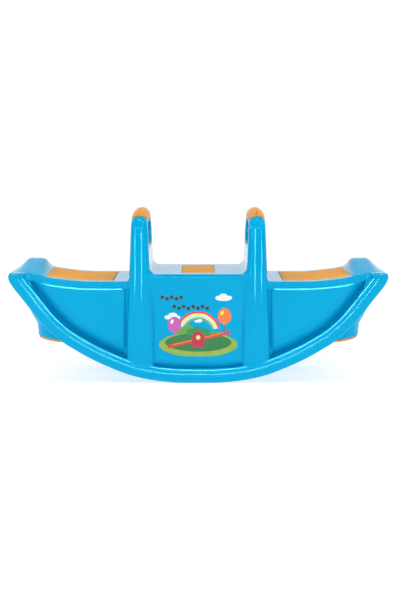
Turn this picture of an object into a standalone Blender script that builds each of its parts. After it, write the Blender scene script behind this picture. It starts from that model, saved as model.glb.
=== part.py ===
"""Three-seat rocker seesaw for toddlers.

Frame: +X along the seesaw, +Y across it (the decorated face looks along -Y), +Z up.
The origin is on the floor, under the middle of the seesaw.  Metres throughout.
The body is two hollow half shells that meet on the plane Y = 0.
"""

import math

import bmesh
import bpy
from mathutils import Matrix, Vector

# ---------------------------------------------------------------- dimensions
LENGTH = 1.080               # tip to tip
WIDTH = 0.300                # across the rocking sole
GAP = 0.0003                 # play left between touching pieces
WALL = 0.0030                # moulded wall of the half shells

SOLE_BAND = 0.027            # height of the outer band of the sole
LEDGE_BAND = 0.039           # height of the inner ledge of the sole
LEDGE_HALF = 0.1445          # ledge face, from the centre plane
DECK_HALF = 0.1265           # deck edge, from the centre plane
PANEL_HALF = 0.1335          # side panels, from the centre plane
CENTRE_PANEL_HALF = 0.1325   # middle panel, from the centre plane

CORE_TUCK = 0.003            # the core's skin lies this far inside the sole's
CORE_END_X = 0.5275          # end of the core, under the tip
CORE_TIP_SIDE = 0.0115       # bevel that ends the core: down its end and back along its top
CORE_TIP_BACK = 0.0085
UPTURN_START_X = 0.468       # where the rims leave the sole's curve to turn up round the tip
UPTURN_FOOT_X = 0.4950
UPTURN_TOP_X = 0.5035
PANEL_START_X = 0.214        # side panels, along X
PANEL_END_X = 0.466
PANEL_FOOT_END_X = 0.452
PANEL_TOP_DROP = 0.021       # plain band between the deck edge and a side panel
CENTRE_PANEL_HALF_X = 0.127
CENTRE_PANEL_FOOT = 0.034
CENTRE_PANEL_DROP = 0.0045
STEP_INNER_X = 0.118         # the deck steps down between these two, behind a handle
STEP_INNER_ROUND = 0.022
STEP_OUTER_X = 0.212
STEP_OUTER_ROUND = 0.012
PAST = 0.2                   # cutters reach this far, beyond everything they cut

SEAT_Z = 0.292               # end seats
CENTRE_Z = 0.313             # middle seat
TIP_Z = 0.3192               # top edge of both tips
LIP_ROOT_Z = 0.274           # foot of the lip's loft, inside the body
LIP_RISE = 0.030             # crown of the end lips above their edges
RIDGE_SOFTNESS = 0.16        # rounding of the lips' ridge, as a share of the half width
RIDGE_FALL = math.hypot(1.0, RIDGE_SOFTNESS) - RIDGE_SOFTNESS

HANDLE_X = 0.168             # handle centre, from the middle
HANDLE_TOP = 0.4940
HANDLE_SHOULDER = 0.436      # where the arch starts to round over
HANDLE_HALF_Y = 0.1265       # arch half span at the shoulder
POST_Z = 0.340               # height at which the half thickness of the posts is given
POST_HALF_THICK = 0.0284
POST_TAPER = 0.041           # loss of half thickness per metre of height
HOLE_HALF_Y = 0.100
HOLE_BOTTOM = 0.384
HOLE_TOP = 0.4560
HOLE_RADIUS = 0.0355

PAD_INNER = 0.2455
PAD_OUTER = 0.437
PAD_HALF_Y = 0.100
CENTRE_PAD_HALF_X = 0.0475
CENTRE_PAD_HALF_Y = 0.090
PAD_THICK = 0.0030
PAD_PROUD = 0.0008
PEG_RADIUS = 0.0040
PEG_LENGTH = 0.0075
PEG_HOLE_DEPTH = 0.012
WING_PEGS_X = (0.268, 0.414)
WING_PEGS_Y = 0.078
CENTRE_PEGS_X = 0.032
CENTRE_PEGS_Y = 0.070

GRIP_END_Y = 0.1040          # where the grips end on the top outline of the arch
GRIP_END_Z = 0.4765
GRIP_END_SLOPE = 2.14        # run of the slanted end faces per metre of height
GRIP_END_REACH = 0.028       # height of the end faces above and below that point
GRIP_THICK = 0.0028
GRIP_PROUD = 0.0004          # the grips stand this much proud of the arch

FOOT_X = 0.427
FOOT_RADIUS = 0.0490
FOOT_PROFILE = [              # radius and height, flaring up into the sole
    (0.0, 0.270), (0.0780, 0.270), (0.0776, 0.208), (0.0740, 0.192), (0.0670, 0.1763),
    (0.0590, 0.1621), (0.0540, 0.1520), (0.0520, 0.1317), (0.0495, 0.061), (0.0, 0.061),
]
STOP_ANGLE = math.radians(9.0)
FOOT_EDGE_Z = 0.1105         # outer edge of the foot cap
CAP_THICK = 0.0060
CAP_SCREW_Y = 0.024
CAP_BOSS_RADIUS = 0.0075
CAP_BOSS_DEPTH = 0.033
CAP_SCREW_REACH = 0.0225

BOSS_RADIUS = 0.0078
SCREW_PLAY = 0.0002          # screw holes are this much wider than the shanks
SCREW_SHANK = 0.0020
SCREW_HEAD = 0.0042
SCREW_HEAD_THICK = 0.0028
SCREW_SEAT_Y = 0.012         # depth of the screw seats beyond the centre plane
SCREW_REACH = 0.014          # how far each screw enters the near shell
SHELL_SCREWS = {
    "left_end": (-0.476, 0.266),
    "right_end": (0.476, 0.266),
    "left_wing": (-0.320, 0.172),
    "right_wing": (0.320, 0.172),
    "left_keel": (-0.090, 0.063),
    "right_keel": (0.090, 0.063),
    "left_handle": (-HANDLE_X, 0.351),
    "right_handle": (HANDLE_X, 0.351),
}

DECAL_HALF_X = 0.114
DECAL_BOTTOM = 0.075
DECAL_TOP = 0.265
DECAL_THICK = 0.0004
DECAL_CORNER = 0.012

# Rocking curve of the sole, from the flat middle stretch round the tip (x, z).
SOLE_STATIONS = [
    (0.050, 0.0000), (0.100, 0.0039), (0.150, 0.0114), (0.200, 0.0241), (0.250, 0.0436),
    (0.300, 0.0665), (0.350, 0.0945), (0.400, 0.1280), (0.450, 0.1780), (0.500, 0.2425),
    (0.526, 0.2762), (0.5375, 0.2954), (LENGTH / 2, 0.3081), (0.5355, TIP_Z),
]
# Outer face of a post, from the sole up to the shoulder (y, z).
POST_FACE = [(0.1425, 0.030), (0.1415, 0.122), (0.1380, 0.223), (0.1335, 0.324), (0.1290, 0.405)]
# Share of the lip's crown along its length (x, share).
LIP_SHARE = [
    (0.430, 0.0), (0.437, 0.10), (0.4415, 0.42), (0.446, 0.80), (0.4495, 1.02), (0.455, 1.16), (0.464, 1.16),
    (0.474, 1.10), (0.484, 1.03), (0.494, 0.975), (0.504, 0.75), (0.514, 0.40), (0.5235, 0.06),
]
# Edge of the end deck, from the handle out to the tip (x, z).
DECK_STATIONS = [
    (0.212, SEAT_Z), (0.300, SEAT_Z), (0.340, 0.2932), (0.396, 0.2990), (0.425, 0.3033),
    (0.454, 0.3091), (0.482, 0.3150), (0.505, 0.3184), (0.5355, TIP_Z),
]


# ------------------------------------------------------------------- scene
for old in list(bpy.data.objects):
    bpy.data.objects.remove(old, do_unlink=True)

part_collection = bpy.data.collections.new("Rocker seesaw")
tool_collection = bpy.data.collections.new("Cutters")
bpy.context.scene.collection.children.link(part_collection)
bpy.context.scene.collection.children.link(tool_collection)
part_root = bpy.data.objects.new("Rocker seesaw root", None)
part_collection.objects.link(part_root)


def material(name, colour, roughness, metallic=0.0):
    mat = bpy.data.materials.new(name)
    mat.use_nodes = True
    shader = mat.node_tree.nodes["Principled BSDF"]
    shader.inputs["Base Color"].default_value = (*colour, 1.0)
    shader.inputs["Roughness"].default_value = roughness
    shader.inputs["Metallic"].default_value = metallic
    mat.diffuse_color = (*colour, 1.0)
    return mat


def evaluated_mesh(obj):
    graph = bpy.context.evaluated_depsgraph_get()
    graph.update()
    return bpy.data.meshes.new_from_object(obj.evaluated_get(graph))


def bake(obj):
    """Apply the modifiers and the transform of a helper object."""
    mesh = evaluated_mesh(obj)
    mesh.transform(obj.matrix_world)
    old = obj.data
    obj.modifiers.clear()
    obj.data = mesh
    obj.matrix_world = Matrix.Identity(4)
    if old.users == 0:
        bpy.data.meshes.remove(old)
    return obj


def helper(name, mesh):
    obj = bpy.data.objects.new(name, mesh)
    obj.hide_render = True
    obj.display_type = "WIRE"
    tool_collection.objects.link(obj)
    return obj


def weld(mesh, distance=0.00002):
    work = bmesh.new()
    work.from_mesh(mesh)
    bmesh.ops.remove_doubles(work, verts=work.verts, dist=distance)
    bmesh.ops.recalc_face_normals(work, faces=work.faces)
    work.to_mesh(mesh)
    work.free()


def plate(name, outline, low, high, across):
    """Flat outline pushed through from low to high along Y ("y") or along X ("x")."""
    curve = bpy.data.curves.new(name, "CURVE")
    curve.dimensions = "2D"
    curve.fill_mode = "BOTH"
    curve.extrude = (high - low) / 2
    spline = curve.splines.new("POLY")
    spline.points.add(len(outline) - 1)
    for point, (a, b) in zip(spline.points, outline):
        point.co = (a, b, 0.0, 1.0)
    spline.use_cyclic_u = True
    guide = bpy.data.objects.new(name + " outline", curve)
    tool_collection.objects.link(guide)
    mesh = evaluated_mesh(guide)
    middle = (low + high) / 2
    if across == "y":
        turn = Matrix.Translation((0, middle, 0)) @ Matrix.Rotation(math.radians(90), 4, "X")
    else:
        turn = (Matrix.Translation((middle, 0, 0)) @ Matrix.Rotation(math.radians(90), 4, "Z")
                @ Matrix.Rotation(math.radians(90), 4, "X"))
    mesh.transform(turn)
    bpy.data.objects.remove(guide, do_unlink=True)
    bpy.data.curves.remove(curve)
    weld(mesh)
    return helper(name, mesh)


def box(name, low, high):
    size = Vector(high) - Vector(low)
    middle = (Vector(high) + Vector(low)) / 2
    mesh = bpy.data.meshes.new(name)
    work = bmesh.new()
    bmesh.ops.create_cube(work, size=1.0)
    work.to_mesh(mesh)
    work.free()
    mesh.transform(Matrix.Translation(middle) @ Matrix.Diagonal((*size, 1.0)))
    return helper(name, mesh)


def turned(name, profile, steps=32):
    """Lathe a profile of (radius, height) about +Z, listed from the top down."""
    mesh = bpy.data.meshes.new(name)
    work = bmesh.new()
    points = [work.verts.new((radius, 0.0, height)) for radius, height in profile]
    for first, second in zip(points, points[1:]):
        work.edges.new((first, second))
    work.to_mesh(mesh)
    work.free()
    obj = helper(name, mesh)
    screw = obj.modifiers.new("Turn", "SCREW")
    screw.angle = math.tau
    screw.steps = steps
    screw.render_steps = steps
    screw.use_merge_vertices = True
    screw.merge_threshold = 0.00001
    screw.use_normal_calculate = True
    bake(obj)
    weld(obj.data)
    return obj


def round_edges(obj, width, segments=2, angle=40.0):
    if width <= 0:
        return obj
    bevel = obj.modifiers.new("Rounded edges", "BEVEL")
    bevel.width = width
    bevel.segments = segments
    bevel.limit_method = "ANGLE"
    bevel.angle_limit = math.radians(angle)
    bevel.use_clamp_overlap = True
    return bake(obj)


def combine(base, tool, operation, solver="EXACT"):
    step = base.modifiers.new(operation.title(), "BOOLEAN")
    step.operation = operation
    step.solver = solver
    step.object = tool
    bake(base)
    bpy.data.objects.remove(tool, do_unlink=True)
    return base


def merge(base, tool, operation):
    """Boolean between body forms; EXACT leaves open edges where these long forms nearly meet."""
    return combine(base, tool, operation, "MANIFOLD")


def copy_of(obj, name):
    return helper(name, obj.data.copy())


def publish(obj, name, mat, origin=(0.0, 0.0, 0.0)):
    """Move a finished piece into the part's collection, with its origin at a given point."""
    obj.name = name
    obj.data.name = name
    obj.hide_render = False
    obj.display_type = "TEXTURED"
    tool_collection.objects.unlink(obj)
    part_collection.objects.link(obj)
    weld(obj.data, 0.00001)
    obj.data.transform(Matrix.Translation(-Vector(origin)))
    obj.location = origin
    obj.parent = part_root
    obj.data.materials.clear()
    obj.data.materials.append(mat)
    obj.data.shade_smooth()
    obj.data.set_sharp_from_angle(angle=math.radians(32.0))
    return obj


def place_copies(original, mat, places):
    """Repeat one finished piece at each named place; the copies share its mesh."""
    mesh = original.data
    mesh.materials.clear()
    mesh.materials.append(mat)
    mesh.shade_smooth()
    mesh.set_sharp_from_angle(angle=math.radians(32.0))
    bpy.data.objects.remove(original, do_unlink=True)
    for name, place in places:
        obj = bpy.data.objects.new(name, mesh)
        obj.parent = part_root
        obj.location = place.to_translation()
        obj.rotation_euler = place.to_euler()
        part_collection.objects.link(obj)


# ------------------------------------------------------------------ outlines
def smooth_line(stations, per_span=4):
    """Catmull-Rom line through the stations."""
    points = []
    last = len(stations) - 1
    for index in range(last):
        p0 = Vector(stations[max(index - 1, 0)])
        p1 = Vector(stations[index])
        p2 = Vector(stations[index + 1])
        p3 = Vector(stations[min(index + 2, last)])
        for step in range(per_span):
            t = step / per_span
            spot = 0.5 * ((2 * p1) + (p2 - p0) * t + (2 * p0 - 5 * p1 + 4 * p2 - p3) * t * t
                          + (3 * p1 - p0 - 3 * p2 + p3) * t ** 3)
            points.append((spot.x, spot.y))
    points.append(tuple(stations[-1]))
    return points


def moved_in(line, distance):
    """Line shifted to its left by a distance."""
    shifted = []
    for index, (x, z) in enumerate(line):
        before = Vector(line[max(index - 1, 0)])
        after = Vector(line[min(index + 1, len(line) - 1)])
        along = (after - before).normalized()
        shifted.append((x - along.y * distance, z + along.x * distance))
    return shifted


def mirrored(line):
    return [(-x, z) for x, z in reversed(line)]


def sole_line(distance, per_span=2):
    """Whole rocking curve, left tip to right tip, moved in from the floor side."""
    half = moved_in(smooth_line(SOLE_STATIONS, per_span), distance)
    half[0] = (half[0][0], distance)
    return mirrored(half) + half


def deck_height(x):
    x = abs(x)
    if x <= DECK_STATIONS[0][0]:
        return DECK_STATIONS[0][1]
    for (x0, z0), (x1, z1) in zip(DECK_STATIONS, DECK_STATIONS[1:]):
        if x <= x1:
            t = (x - x0) / (x1 - x0)
            ease = t * t * (3 - 2 * t)
            return z0 + (z1 - z0) * (0.5 * t + 0.5 * ease)
    return DECK_STATIONS[-1][1]


def deck_line(distance):
    """Top outline from the middle to the right tip, moved down by a distance."""
    line = [(0.0, CENTRE_Z)]
    for step in range(5):
        a = math.radians(90 * step / 4)
        line.append((STEP_INNER_X + STEP_INNER_ROUND * math.sin(a),
                     CENTRE_Z + STEP_INNER_ROUND * (1 - math.cos(a))))
    for step in range(5):
        a = math.radians(90 * step / 4)
        line.append((STEP_OUTER_X - STEP_OUTER_ROUND * math.cos(a),
                     SEAT_Z + STEP_OUTER_ROUND * (1 - math.sin(a))))
    line += [(x, deck_height(x)) for x in (0.26, 0.32, 0.36, 0.396, 0.425, 0.454, 0.482, 0.505)]
    return [(x, z - distance) for x, z in line]


def core_outline(wall):
    end = CORE_END_X - wall
    bottom = [point for point in sole_line(wall + CORE_TUCK) if abs(point[0]) < end - GAP]
    top = deck_line(wall)
    tip = [(end, SEAT_Z), (end, TIP_Z - CORE_TIP_SIDE - wall),
           (end - CORE_TIP_BACK, TIP_Z - CORE_TUCK - wall)]
    return bottom + tip + list(reversed(top)) + [(-x, z) for x, z in top[1:]] + mirrored(tip)


def band_outline(outer, inner, wall):
    """Band that follows the sole and turns up round each tip to the deck."""
    top = TIP_Z - wall
    low = [(x, z) for x, z in sole_line(outer) if x > 0 and z < top - 0.001]
    high = [(x, z) for x, z in sole_line(inner) if 0 < x < UPTURN_START_X]
    back = (inner - SOLE_BAND) * 0.6
    end = [(low[-1][0] - 0.001, top), (UPTURN_TOP_X - back, top - 0.0005), (UPTURN_FOOT_X - back, SEAT_Z)]
    right = low + end + list(reversed(high))
    return mirrored(low) + right + [(-x, z) for x, z in high] + [(-x, z) for x, z in reversed(end)]


def panel_outline(wall):
    xs = (PANEL_START_X, 0.26, 0.32, 0.37, 0.41, 0.44, PANEL_END_X)
    top = [(x, deck_height(x) - PANEL_TOP_DROP - wall) for x in xs]
    lower = [point for point in sole_line(LEDGE_BAND + 0.006 - wall)
             if PANEL_START_X < point[0] < PANEL_FOOT_END_X]
    return lower + list(reversed(top))


def arch_outline(wall):
    half = [(y - wall, z) for y, z in POST_FACE]
    span = HANDLE_HALF_Y - wall
    rise = HANDLE_TOP - HANDLE_SHOULDER - wall
    for step in range(9):
        a = math.radians(90 * step / 8)
        half.append((span * math.cos(a) ** 0.62, HANDLE_SHOULDER + rise * math.sin(a) ** 0.85))
    half[-1] = (0.0, HANDLE_TOP - wall)
    return half + [(-y, z) for y, z in reversed(half[:-1])]


def rounded_plan(half_a, half_b, radius):
    """Rectangle about the origin with four rounded corners."""
    outline = []
    for a, b, start in ((half_a - radius, radius - half_b, -90), (half_a - radius, half_b - radius, 0),
                        (radius - half_a, half_b - radius, 90), (radius - half_a, radius - half_b, 180)):
        for step in range(5):
            turn = math.radians(start + 22.5 * step)
            outline.append((a + radius * math.cos(turn), b + radius * math.sin(turn)))
    return outline


def hole_outline(grow):
    half_height = (HOLE_TOP - HOLE_BOTTOM) / 2
    middle_z = (HOLE_TOP + HOLE_BOTTOM) / 2
    plan = rounded_plan(HOLE_HALF_Y + grow, half_height + grow, HOLE_RADIUS + grow)
    return [(y, middle_z + z) for y, z in plan]


# ------------------------------------------------------------- body building
def arch(side, wall):
    obj = plate("arch", arch_outline(wall), -POST_HALF_THICK, POST_HALF_THICK, "x")
    cut = plate("arch hole", hole_outline(wall), -PAST, PAST, "x")
    merge(obj, cut, "DIFFERENCE")
    for vertex in obj.data.vertices:
        half = POST_HALF_THICK - POST_TAPER * (vertex.co.z - POST_Z) - wall
        vertex.co.x = math.copysign(half, vertex.co.x)
    weld(obj.data)
    round_edges(obj, 0.0105 - wall, segments=2 if wall <= 0 else 1)
    obj.data.transform(Matrix.Translation((side * HANDLE_X, 0, 0)))
    return obj


def grip_window(side, grow):
    """Block that keeps the bar of an arch; its slanted ends are moved out by a distance."""
    lean = grow * math.hypot(1.0, GRIP_END_SLOPE)
    run = GRIP_END_REACH * GRIP_END_SLOPE
    low, high = GRIP_END_Z - GRIP_END_REACH, GRIP_END_Z + GRIP_END_REACH
    low_y, high_y = GRIP_END_Y - run + lean, GRIP_END_Y + run + lean
    outline = [(-low_y, low), (low_y, low), (high_y, high), (-high_y, high)]
    block = plate("grip window", outline, -PAST, PAST, "x")
    block.data.transform(Matrix.Translation((side * HANDLE_X, 0, 0)))
    return block


def handle(side, wall):
    """Arch whose bar is slimmer by the thickness of the grips."""
    obj = arch(side, wall)
    merge(obj, grip_window(side, wall), "DIFFERENCE")
    return merge(obj, arch(side, wall + GRIP_THICK), "UNION")


def tent(share):
    """Rounded ridge: 1 at the middle, falling almost straight to 0 at a share of 1."""
    return 1 - (math.hypot(share, RIDGE_SOFTNESS) - RIDGE_SOFTNESS) / RIDGE_FALL


def lip(side, wall):
    """Loft of the crowned end lip; its sections change across the width."""
    steps_y = 10 if wall == 0 else 6
    half = DECK_HALF - wall
    mesh = bpy.data.meshes.new("lip")
    work = bmesh.new()
    rows = []
    for j in range(steps_y + 1):
        y = -half + 2 * half * j / steps_y
        crown = LIP_RISE * tent(abs(y) / half)
        start, end = LIP_SHARE[0][0], LIP_SHARE[-1][0] - wall
        row = [work.verts.new((start, y, LIP_ROOT_Z)), work.verts.new((end, y, LIP_ROOT_Z))]
        for x, share in reversed(LIP_SHARE):
            row.append(work.verts.new((min(x, end), y, deck_height(x) - wall - 0.001 + crown * share)))
        rows.append(row)
    for row, following in zip(rows, rows[1:]):
        count = len(row)
        for i in range(count):
            k = (i + 1) % count
            work.faces.new((row[i], row[k], following[k], following[i]))
    work.faces.new(list(reversed(rows[0])))
    work.faces.new(rows[-1])
    bmesh.ops.recalc_face_normals(work, faces=work.faces)
    work.to_mesh(mesh)
    work.free()
    if side < 0:
        mesh.transform(Matrix.Scale(-1, 4, (1, 0, 0)))
        mesh.flip_normals()
    obj = helper("lip", mesh)
    weld(obj.data, 0.0001)
    return obj


def stop_plane_z(x):
    return FOOT_EDGE_Z + (abs(x) - FOOT_X - FOOT_RADIUS) * math.tan(STOP_ANGLE)


def foot(side, wall):
    shrunk = [(max(radius - wall, 0.0), z) for radius, z in FOOT_PROFILE]
    obj = turned("foot", shrunk, 24 if wall == 0 else 16)
    obj.data.transform(Matrix.Translation((FOOT_X, 0, 0)))
    lift = (CAP_THICK + GAP + wall) / math.cos(STOP_ANGLE)
    below = box("below foot", (-PAST, -PAST, -PAST), (PAST, PAST, 0.0))
    below.data.transform(Matrix.Translation((FOOT_X, 0, stop_plane_z(FOOT_X) + lift))
                         @ Matrix.Rotation(-STOP_ANGLE, 4, "Y"))
    merge(obj, below, "DIFFERENCE")
    if side < 0:
        obj.data.transform(Matrix.Scale(-1, 4, (1, 0, 0)))
        obj.data.flip_normals()
    return obj


def body_solid(name, wall):
    """Outer form of the whole body (wall 0) or the hollow inside it (wall > 0)."""
    body = plate(name, core_outline(wall), wall - DECK_HALF, DECK_HALF - wall, "y")
    round_edges(body, 0.0030 - wall, 1, 50)
    sole = plate("sole", band_outline(wall, SOLE_BAND - wall, wall), wall - WIDTH / 2, WIDTH / 2 - wall, "y")
    round_edges(sole, 0.0040 - wall, 1, 50)
    merge(body, sole, "UNION")
    ledge = plate("ledge", band_outline(wall + 0.0015, LEDGE_BAND - wall, wall + 0.0012),
                  wall - LEDGE_HALF, LEDGE_HALF - wall, "y")
    merge(body, ledge, "UNION")
    for side in (-1, 1):
        panel = plate("panel", [(side * x, z) for x, z in panel_outline(wall)],
                      wall - PANEL_HALF, PANEL_HALF - wall, "y")
        round_edges(panel, 0.0055 - wall, 1, 50)
        merge(body, panel, "UNION")
    half_x, top = CENTRE_PANEL_HALF_X - wall, CENTRE_Z - CENTRE_PANEL_DROP - wall
    middle = [(-half_x, CENTRE_PANEL_FOOT), (half_x, CENTRE_PANEL_FOOT), (half_x, top), (-half_x, top)]
    panel = plate("middle panel", middle, wall - CENTRE_PANEL_HALF, CENTRE_PANEL_HALF - wall, "y")
    round_edges(panel, 0.005 - wall, 2, 50)
    merge(body, panel, "UNION")
    for side in (-1, 1):
        merge(body, lip(side, wall), "UNION")
        merge(body, foot(side, wall), "UNION")
        merge(body, handle(side, wall), "UNION")
    return body


def pad_plan(inner, outer, low_offset, high_offset, steps=10):
    """Side outline of a wing pad that follows the deck."""
    xs = [inner + (outer - inner) * step / steps for step in range(steps + 1)]
    low = [(x, deck_height(x) + low_offset) for x in xs]
    high = [(x, deck_height(x) + high_offset) for x in xs]
    return low + list(reversed(high))


def pad_block(side, grow, low_offset, high_offset):
    """Block in the place of one seat pad; side 0 is the middle seat."""
    if side == 0:
        return box("centre pad block",
                   (-CENTRE_PAD_HALF_X - grow, -CENTRE_PAD_HALF_Y - grow, CENTRE_Z + low_offset),
                   (CENTRE_PAD_HALF_X + grow, CENTRE_PAD_HALF_Y + grow, CENTRE_Z + high_offset))
    outline = pad_plan(PAD_INNER - grow, PAD_OUTER + grow, low_offset, high_offset)
    outline = [(side * x, z) for x, z in outline]
    return plate("pad block", outline, -PAD_HALF_Y - grow, PAD_HALF_Y + grow, "y")


def peg_places(side):
    if side == 0:
        return [(x, y) for x in (-CENTRE_PEGS_X, CENTRE_PEGS_X) for y in (-CENTRE_PEGS_Y, CENTRE_PEGS_Y)]
    return [(side * x, y) for x in WING_PEGS_X for y in (-WING_PEGS_Y, WING_PEGS_Y)]


def pad_floor(side, x):
    top = CENTRE_Z if side == 0 else deck_height(x)
    return top + PAD_PROUD - PAD_THICK


def rod(name, radius, start, end, steps=16):
    start, end = Vector(start), Vector(end)
    length = (end - start).length
    obj = turned(name, [(0.0, length), (radius, length), (radius, 0.0), (0.0, 0.0)], steps)
    turn = (end - start).to_track_quat("Z", "Y").to_matrix().to_4x4()
    obj.data.transform(Matrix.Translation(start) @ turn)
    return obj


def cap_frame(side):
    """Frame on the foot face: +Z points down out of the foot."""
    place = Matrix.Translation((side * FOOT_X, 0, stop_plane_z(FOOT_X)))
    return place @ Matrix.Rotation(side * (math.pi - STOP_ANGLE), 4, "Y")


outer = body_solid("outer form", 0.0)
hollow = body_solid("hollow", WALL)

# Seat pad recesses, with the wall kept behind them.
for seat in (-1, 0, 1):
    recess = pad_block(seat, GAP, PAD_PROUD - PAD_THICK - GAP, LIP_RISE)
    merge(outer, recess, "DIFFERENCE")
    behind = pad_block(seat, GAP + WALL, PAD_PROUD - PAD_THICK - GAP - WALL, LIP_RISE)
    merge(hollow, behind, "DIFFERENCE")

# Screw bosses run across the hollow from wall to wall.
for x, z in SHELL_SCREWS.values():
    boss = rod("boss", BOSS_RADIUS, (x, -PAST, z), (x, PAST, z), 14)
    merge(hollow, boss, "DIFFERENCE")
for side in (-1, 1):
    for y in (-CAP_SCREW_Y, CAP_SCREW_Y):
        place = cap_frame(side)
        deep, face = place @ Vector((0, y, -CAP_BOSS_DEPTH)), place @ Vector((0, y, 0))
        boss = rod("cap boss", CAP_BOSS_RADIUS, deep, face, 12)
        merge(hollow, boss, "DIFFERENCE")

merge(outer, hollow, "DIFFERENCE")

# Peg holes under the pads and screw holes for the foot caps.
for seat in (-1, 0, 1):
    for x, y in peg_places(seat):
        top = pad_floor(seat, x)
        hole = rod("peg hole", PEG_RADIUS + GAP, (x, y, top - PEG_HOLE_DEPTH), (x, y, top + 0.004), 12)
        merge(outer, hole, "DIFFERENCE")
for side in (-1, 1):
    for y in (-CAP_SCREW_Y, CAP_SCREW_Y):
        place = cap_frame(side)
        deep = place @ Vector((0, y, -CAP_SCREW_REACH - CAP_THICK))
        open_end = place @ Vector((0, y, 0.004))
        hole = rod("cap screw hole", SCREW_SHANK + SCREW_PLAY, deep, open_end, 12)
        merge(outer, hole, "DIFFERENCE")
# Deep screw wells open on the far side; blind pilot holes in the near shell.
for x, z in SHELL_SCREWS.values():
    well = rod("screw well", SCREW_HEAD + 0.0008, (x, SCREW_SEAT_Y, z), (x, PAST, z), 14)
    merge(outer, well, "DIFFERENCE")
    blind, seat = (x, -SCREW_REACH - 0.002, z), (x, SCREW_SEAT_Y + 0.002, z)
    pilot = rod("pilot", SCREW_SHANK + SCREW_PLAY, blind, seat, 12)
    merge(outer, pilot, "DIFFERENCE")

blue = material("Glossy blue plastic", (0.0, 0.45, 0.80), 0.12)
orange = material("Orange non-slip plastic", (0.85, 0.34, 0.03), 0.45)
grip_orange = material("Orange grip plastic", (0.85, 0.33, 0.02), 0.35)
cap_orange = material("Orange rubber", (0.85, 0.33, 0.02), 0.55)
steel = material("Zinc-plated steel", (0.72, 0.73, 0.75), 0.30, 1.0)
print_film = material("Printed film", (0.35, 0.70, 0.30), 0.25)

near_half = copy_of(outer, "near half")
merge(near_half, box("near side", (-LENGTH, -WIDTH, -PAST), (LENGTH, -GAP / 2, LENGTH)), "INTERSECT")
far_half = outer
merge(far_half, box("far side", (-LENGTH, GAP / 2, -PAST), (LENGTH, WIDTH, LENGTH)), "INTERSECT")
publish(near_half, "near_half_shell", blue)
publish(far_half, "far_half_shell", blue)

# ------------------------------------------------------------------ seat pads
for seat, name in ((-1, "left_seat_pad"), (0, "centre_seat_pad"), (1, "right_seat_pad")):
    pad_x = seat * (PAD_INNER + PAD_OUTER) / 2
    pad = pad_block(seat, 0.0, PAD_PROUD - PAD_THICK, PAD_PROUD)
    for x, y in peg_places(seat):
        floor = pad_floor(seat, x)
        peg = rod("peg", PEG_RADIUS, (x, y, floor - PEG_LENGTH), (x, y, floor + 0.001), 12)
        merge(pad, peg, "UNION")
    publish(pad, name, orange, (pad_x, 0, CENTRE_Z if seat == 0 else SEAT_Z))

# --------------------------------------------------------------- handle grips
for side, word in ((-1, "left"), (1, "right")):
    for half, half_word in ((-1, "outer"), (1, "inner")):
        sleeve = arch(side, -GRIP_PROUD)
        merge(sleeve, arch(side, GRIP_THICK - GAP), "DIFFERENCE")
        merge(sleeve, grip_window(side, -GAP), "INTERSECT")
        split = side * HANDLE_X
        away = half * side
        near, far = sorted((split - away * GAP / 2, split + away * PAST))
        merge(sleeve, box("other half", (near, -PAST, SEAT_Z), (far, PAST, SEAT_Z + PAST * 2)), "DIFFERENCE")
        publish(sleeve, f"{word}_grip_{half_word}_half", grip_orange, (split, 0, HANDLE_SHOULDER))

# ------------------------------------------------------------------ foot caps
cap = turned("cap", [(0.0, 0.0), (FOOT_RADIUS - 0.003, 0.0), (FOOT_RADIUS - 0.0005, -0.0012),
                     (FOOT_RADIUS, -0.0030), (FOOT_RADIUS, -CAP_THICK), (0.0, -CAP_THICK)], 28)
sink_floor = -SCREW_HEAD_THICK - GAP
for y in (-CAP_SCREW_Y, CAP_SCREW_Y):
    sink = turned("sink", [(0.0, 0.004), (SCREW_HEAD + 0.0005, 0.004), (SCREW_HEAD + 0.0005, sink_floor),
                           (SCREW_SHANK + SCREW_PLAY, sink_floor), (SCREW_SHANK + SCREW_PLAY, -0.010),
                           (0.0, -0.010)], 12)
    sink.data.transform(Matrix.Translation((0, y, 0)))
    combine(cap, sink, "DIFFERENCE")
place_copies(cap, cap_orange, [("left_foot_cap", cap_frame(-1)), ("right_foot_cap", cap_frame(1))])


# --------------------------------------------------------------------- screws
def screw(reach):
    """Pan-head cross-recess screw pointing down -Z, head seat at the origin."""
    body = turned("screw", [(0.0, SCREW_HEAD_THICK), (SCREW_HEAD * 0.70, SCREW_HEAD_THICK * 0.92),
                            (SCREW_HEAD, SCREW_HEAD_THICK * 0.45), (SCREW_HEAD, 0.0), (SCREW_SHANK, 0.0),
                            (SCREW_SHANK, -reach + 0.003), (0.0, -reach)], 12)
    for turn in (0.0, 90.0):
        slot = box("slot", (-0.0023, -0.00045, SCREW_HEAD_THICK - 0.0014), (0.0023, 0.00045, 0.01))
        slot.data.transform(Matrix.Rotation(math.radians(turn), 4, "Z"))
        combine(body, slot, "DIFFERENCE")
    return body


facing_far_side = Matrix.Rotation(math.radians(-90), 4, "X")
place_copies(screw(SCREW_REACH + SCREW_SEAT_Y - GAP), steel,
             [(f"{label}_shell_screw", Matrix.Translation((x, SCREW_SEAT_Y + GAP, z)) @ facing_far_side)
              for label, (x, z) in SHELL_SCREWS.items()])
place_copies(screw(CAP_SCREW_REACH), steel,
             [(f"{word}_cap_{where}_screw", cap_frame(side) @ Matrix.Translation((0, y, -SCREW_HEAD_THICK)))
              for side, word in ((-1, "left"), (1, "right"))
              for y, where in ((-CAP_SCREW_Y, "near"), (CAP_SCREW_Y, "far"))])

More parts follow.
